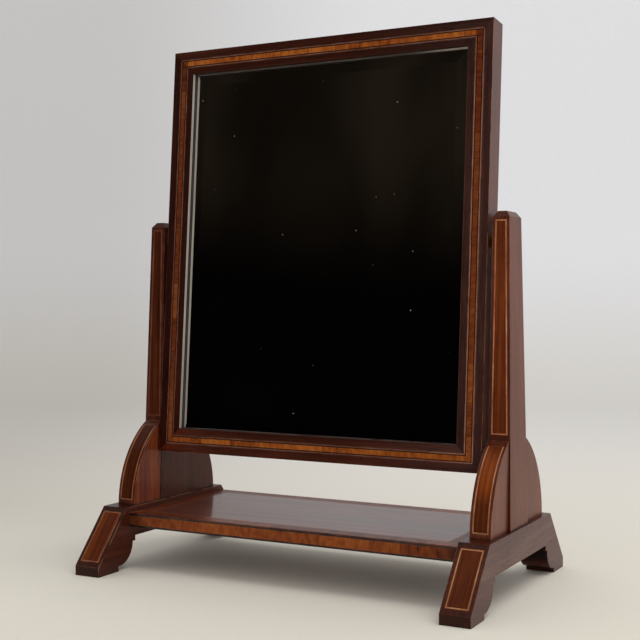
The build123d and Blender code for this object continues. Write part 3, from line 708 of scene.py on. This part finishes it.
def arc_points(radius, height):
    """Points along the dark arc in front of the mirror, from its left end to its right end."""
    for step in range(FLAG_STEPS + 1):
        angle = FLAG_LEFT + (FLAG_RIGHT - FLAG_LEFT) * step / FLAG_STEPS
        yield radius * math.sin(angle), -radius * math.cos(angle), height


def build_arc(bm, *edges):
    rows = [[bm.verts.new(point) for point in arc_points(*edge)] for edge in edges]
    for low_row, high_row in zip(rows, rows[1:]):
        for k in range(FLAG_STEPS):
            bm.faces.new((low_row[k], low_row[k + 1], high_row[k + 1], high_row[k]))


def paper():
    """Pale paper, with painted shade far back and to the left of the view."""
    m = Finish("stage_paper")
    parts = m.parts(m.point())
    rightwards = m.weighed((parts[X], math.cos(YAW)), (parts[Y], math.sin(YAW)))
    backwards = m.weighed((parts[X], -math.sin(YAW)), (parts[Y], math.cos(YAW)))
    ground = m.mix(m.between(backwards, -0.3, 1.6), PAPER_NEAR, PAPER_FAR)
    colour = m.mix(m.between(parts[Z], 0.0, 0.5), ground, PAPER_WALL)
    # Painted shade on the paper, far back and to the left
    shaded = m.product(m.falling(rightwards, -0.8, 0.3), m.between(backwards, -0.2, 0.5))
    colour = m.times(colour, PAPER_SHADE, shaded)
    fibre = m.noise(m.point(), scale=240, detail=3)
    colour = m.mix(m.between(fibre, 0.35, 0.65, 0.0, 0.05), colour, PAPER_FIBRE)
    return m.surface(colour, 0.9, fibre, PAPER_RELIEF, Specular_IOR_Level=0.1)


def dark_cloth():
    """Near black below and a dim warm brown above, with soft folds and thin edges."""
    m = Finish("stage_dark_cloth")
    parts = m.parts(m.point())
    angle = m.calc("ARCTAN2", parts[X], m.product(parts[Y], -1.0))
    ends = m.product(m.between(angle, FLAG_LEFT, FLAG_LEFT + FLAG_FADE),
                     m.falling(angle, FLAG_RIGHT - FLAG_FADE, FLAG_RIGHT))
    distance = m.vector("LENGTH", m.point())["Value"]
    cover = m.product(ends, m.between(distance, DARK_FLOOR, DARK_FLOOR + DARK_FLOOR_FADE))
    folds = m.noise(m.stretched(m.point(), Z, (1.2, 3.0)), detail=3, distortion=0.5)
    warm = m.product(m.between(parts[Z], 0.55, 1.0), m.between(folds, 0.3, 0.7, 0.3, 1.0))
    return m.surface(m.mix(warm, CLOTH_DARK, CLOTH_WARM), 1.0, Specular_IOR_Level=0.0, Alpha=cover)


def build_flag(bm):
    build_arc(bm, (FLAG_RADIUS, DARK_FLOOR_LIFT), (FLAG_RADIUS, FLAG_TOP))


def build_dark_floor(bm):
    build_arc(bm, (DARK_FLOOR, DARK_FLOOR_LIFT), (FLAG_RADIUS, DARK_FLOOR_LIFT))


cloth = dark_cloth()
sheet = paper()
stage_piece("stage_floor", lambda bm: build_rings(bm, floor_rings(), filled=True), sheet)
stage_piece("stage_wall", lambda bm: build_rings(bm, wall_rings()), sheet, **NO_SHADOW_OR_BOUNCE)
stage_piece("stage_flag", build_flag, cloth, **IN_REFLECTIONS)
stage_piece("stage_dark_floor", build_dark_floor, cloth, **IN_REFLECTIONS)

# The light all round is brighter near the horizon than overhead
world = bpy.data.worlds.new("studio")
scene.world = world
world.use_nodes = True
sky_nodes, sky_links = world.node_tree.nodes, world.node_tree.links
background = sky_nodes["Background"]
background.inputs["Color"].default_value = SKY
direction = sky_nodes.new("ShaderNodeTexCoord")
height = sky_nodes.new("ShaderNodeSeparateXYZ")
level = sky_nodes.new("ShaderNodeMapRange")
level.inputs["To Min"].default_value = SKY_AT_HORIZON
level.inputs["To Max"].default_value = SKY_OVERHEAD
sky_links.new(direction.outputs["Generated"], height.inputs[0])
sky_links.new(height.outputs[Z], level.inputs["Value"])
sky_links.new(level.outputs[0], background.inputs["Strength"])


def soft_lamp(name, place, target, size, power, colour):
    lamp = bpy.data.lights.new(name, "AREA")
    lamp.shape, lamp.size, lamp.energy, lamp.color = "DISK", size, power, colour
    holder = bpy.data.objects.new(name, lamp)
    scene.collection.objects.link(holder)
    holder.location = place
    holder.rotation_euler = (Vector(target) - Vector(place)).to_track_quat("-Z", "Y").to_euler()
    holder.visible_camera = False


soft_lamp("lamp_top", place=(0.8, 0.05, 2.4), target=(0.0, -0.1, 0.1), size=1.8, power=18,
          colour=(1.0, 0.985, 0.96))
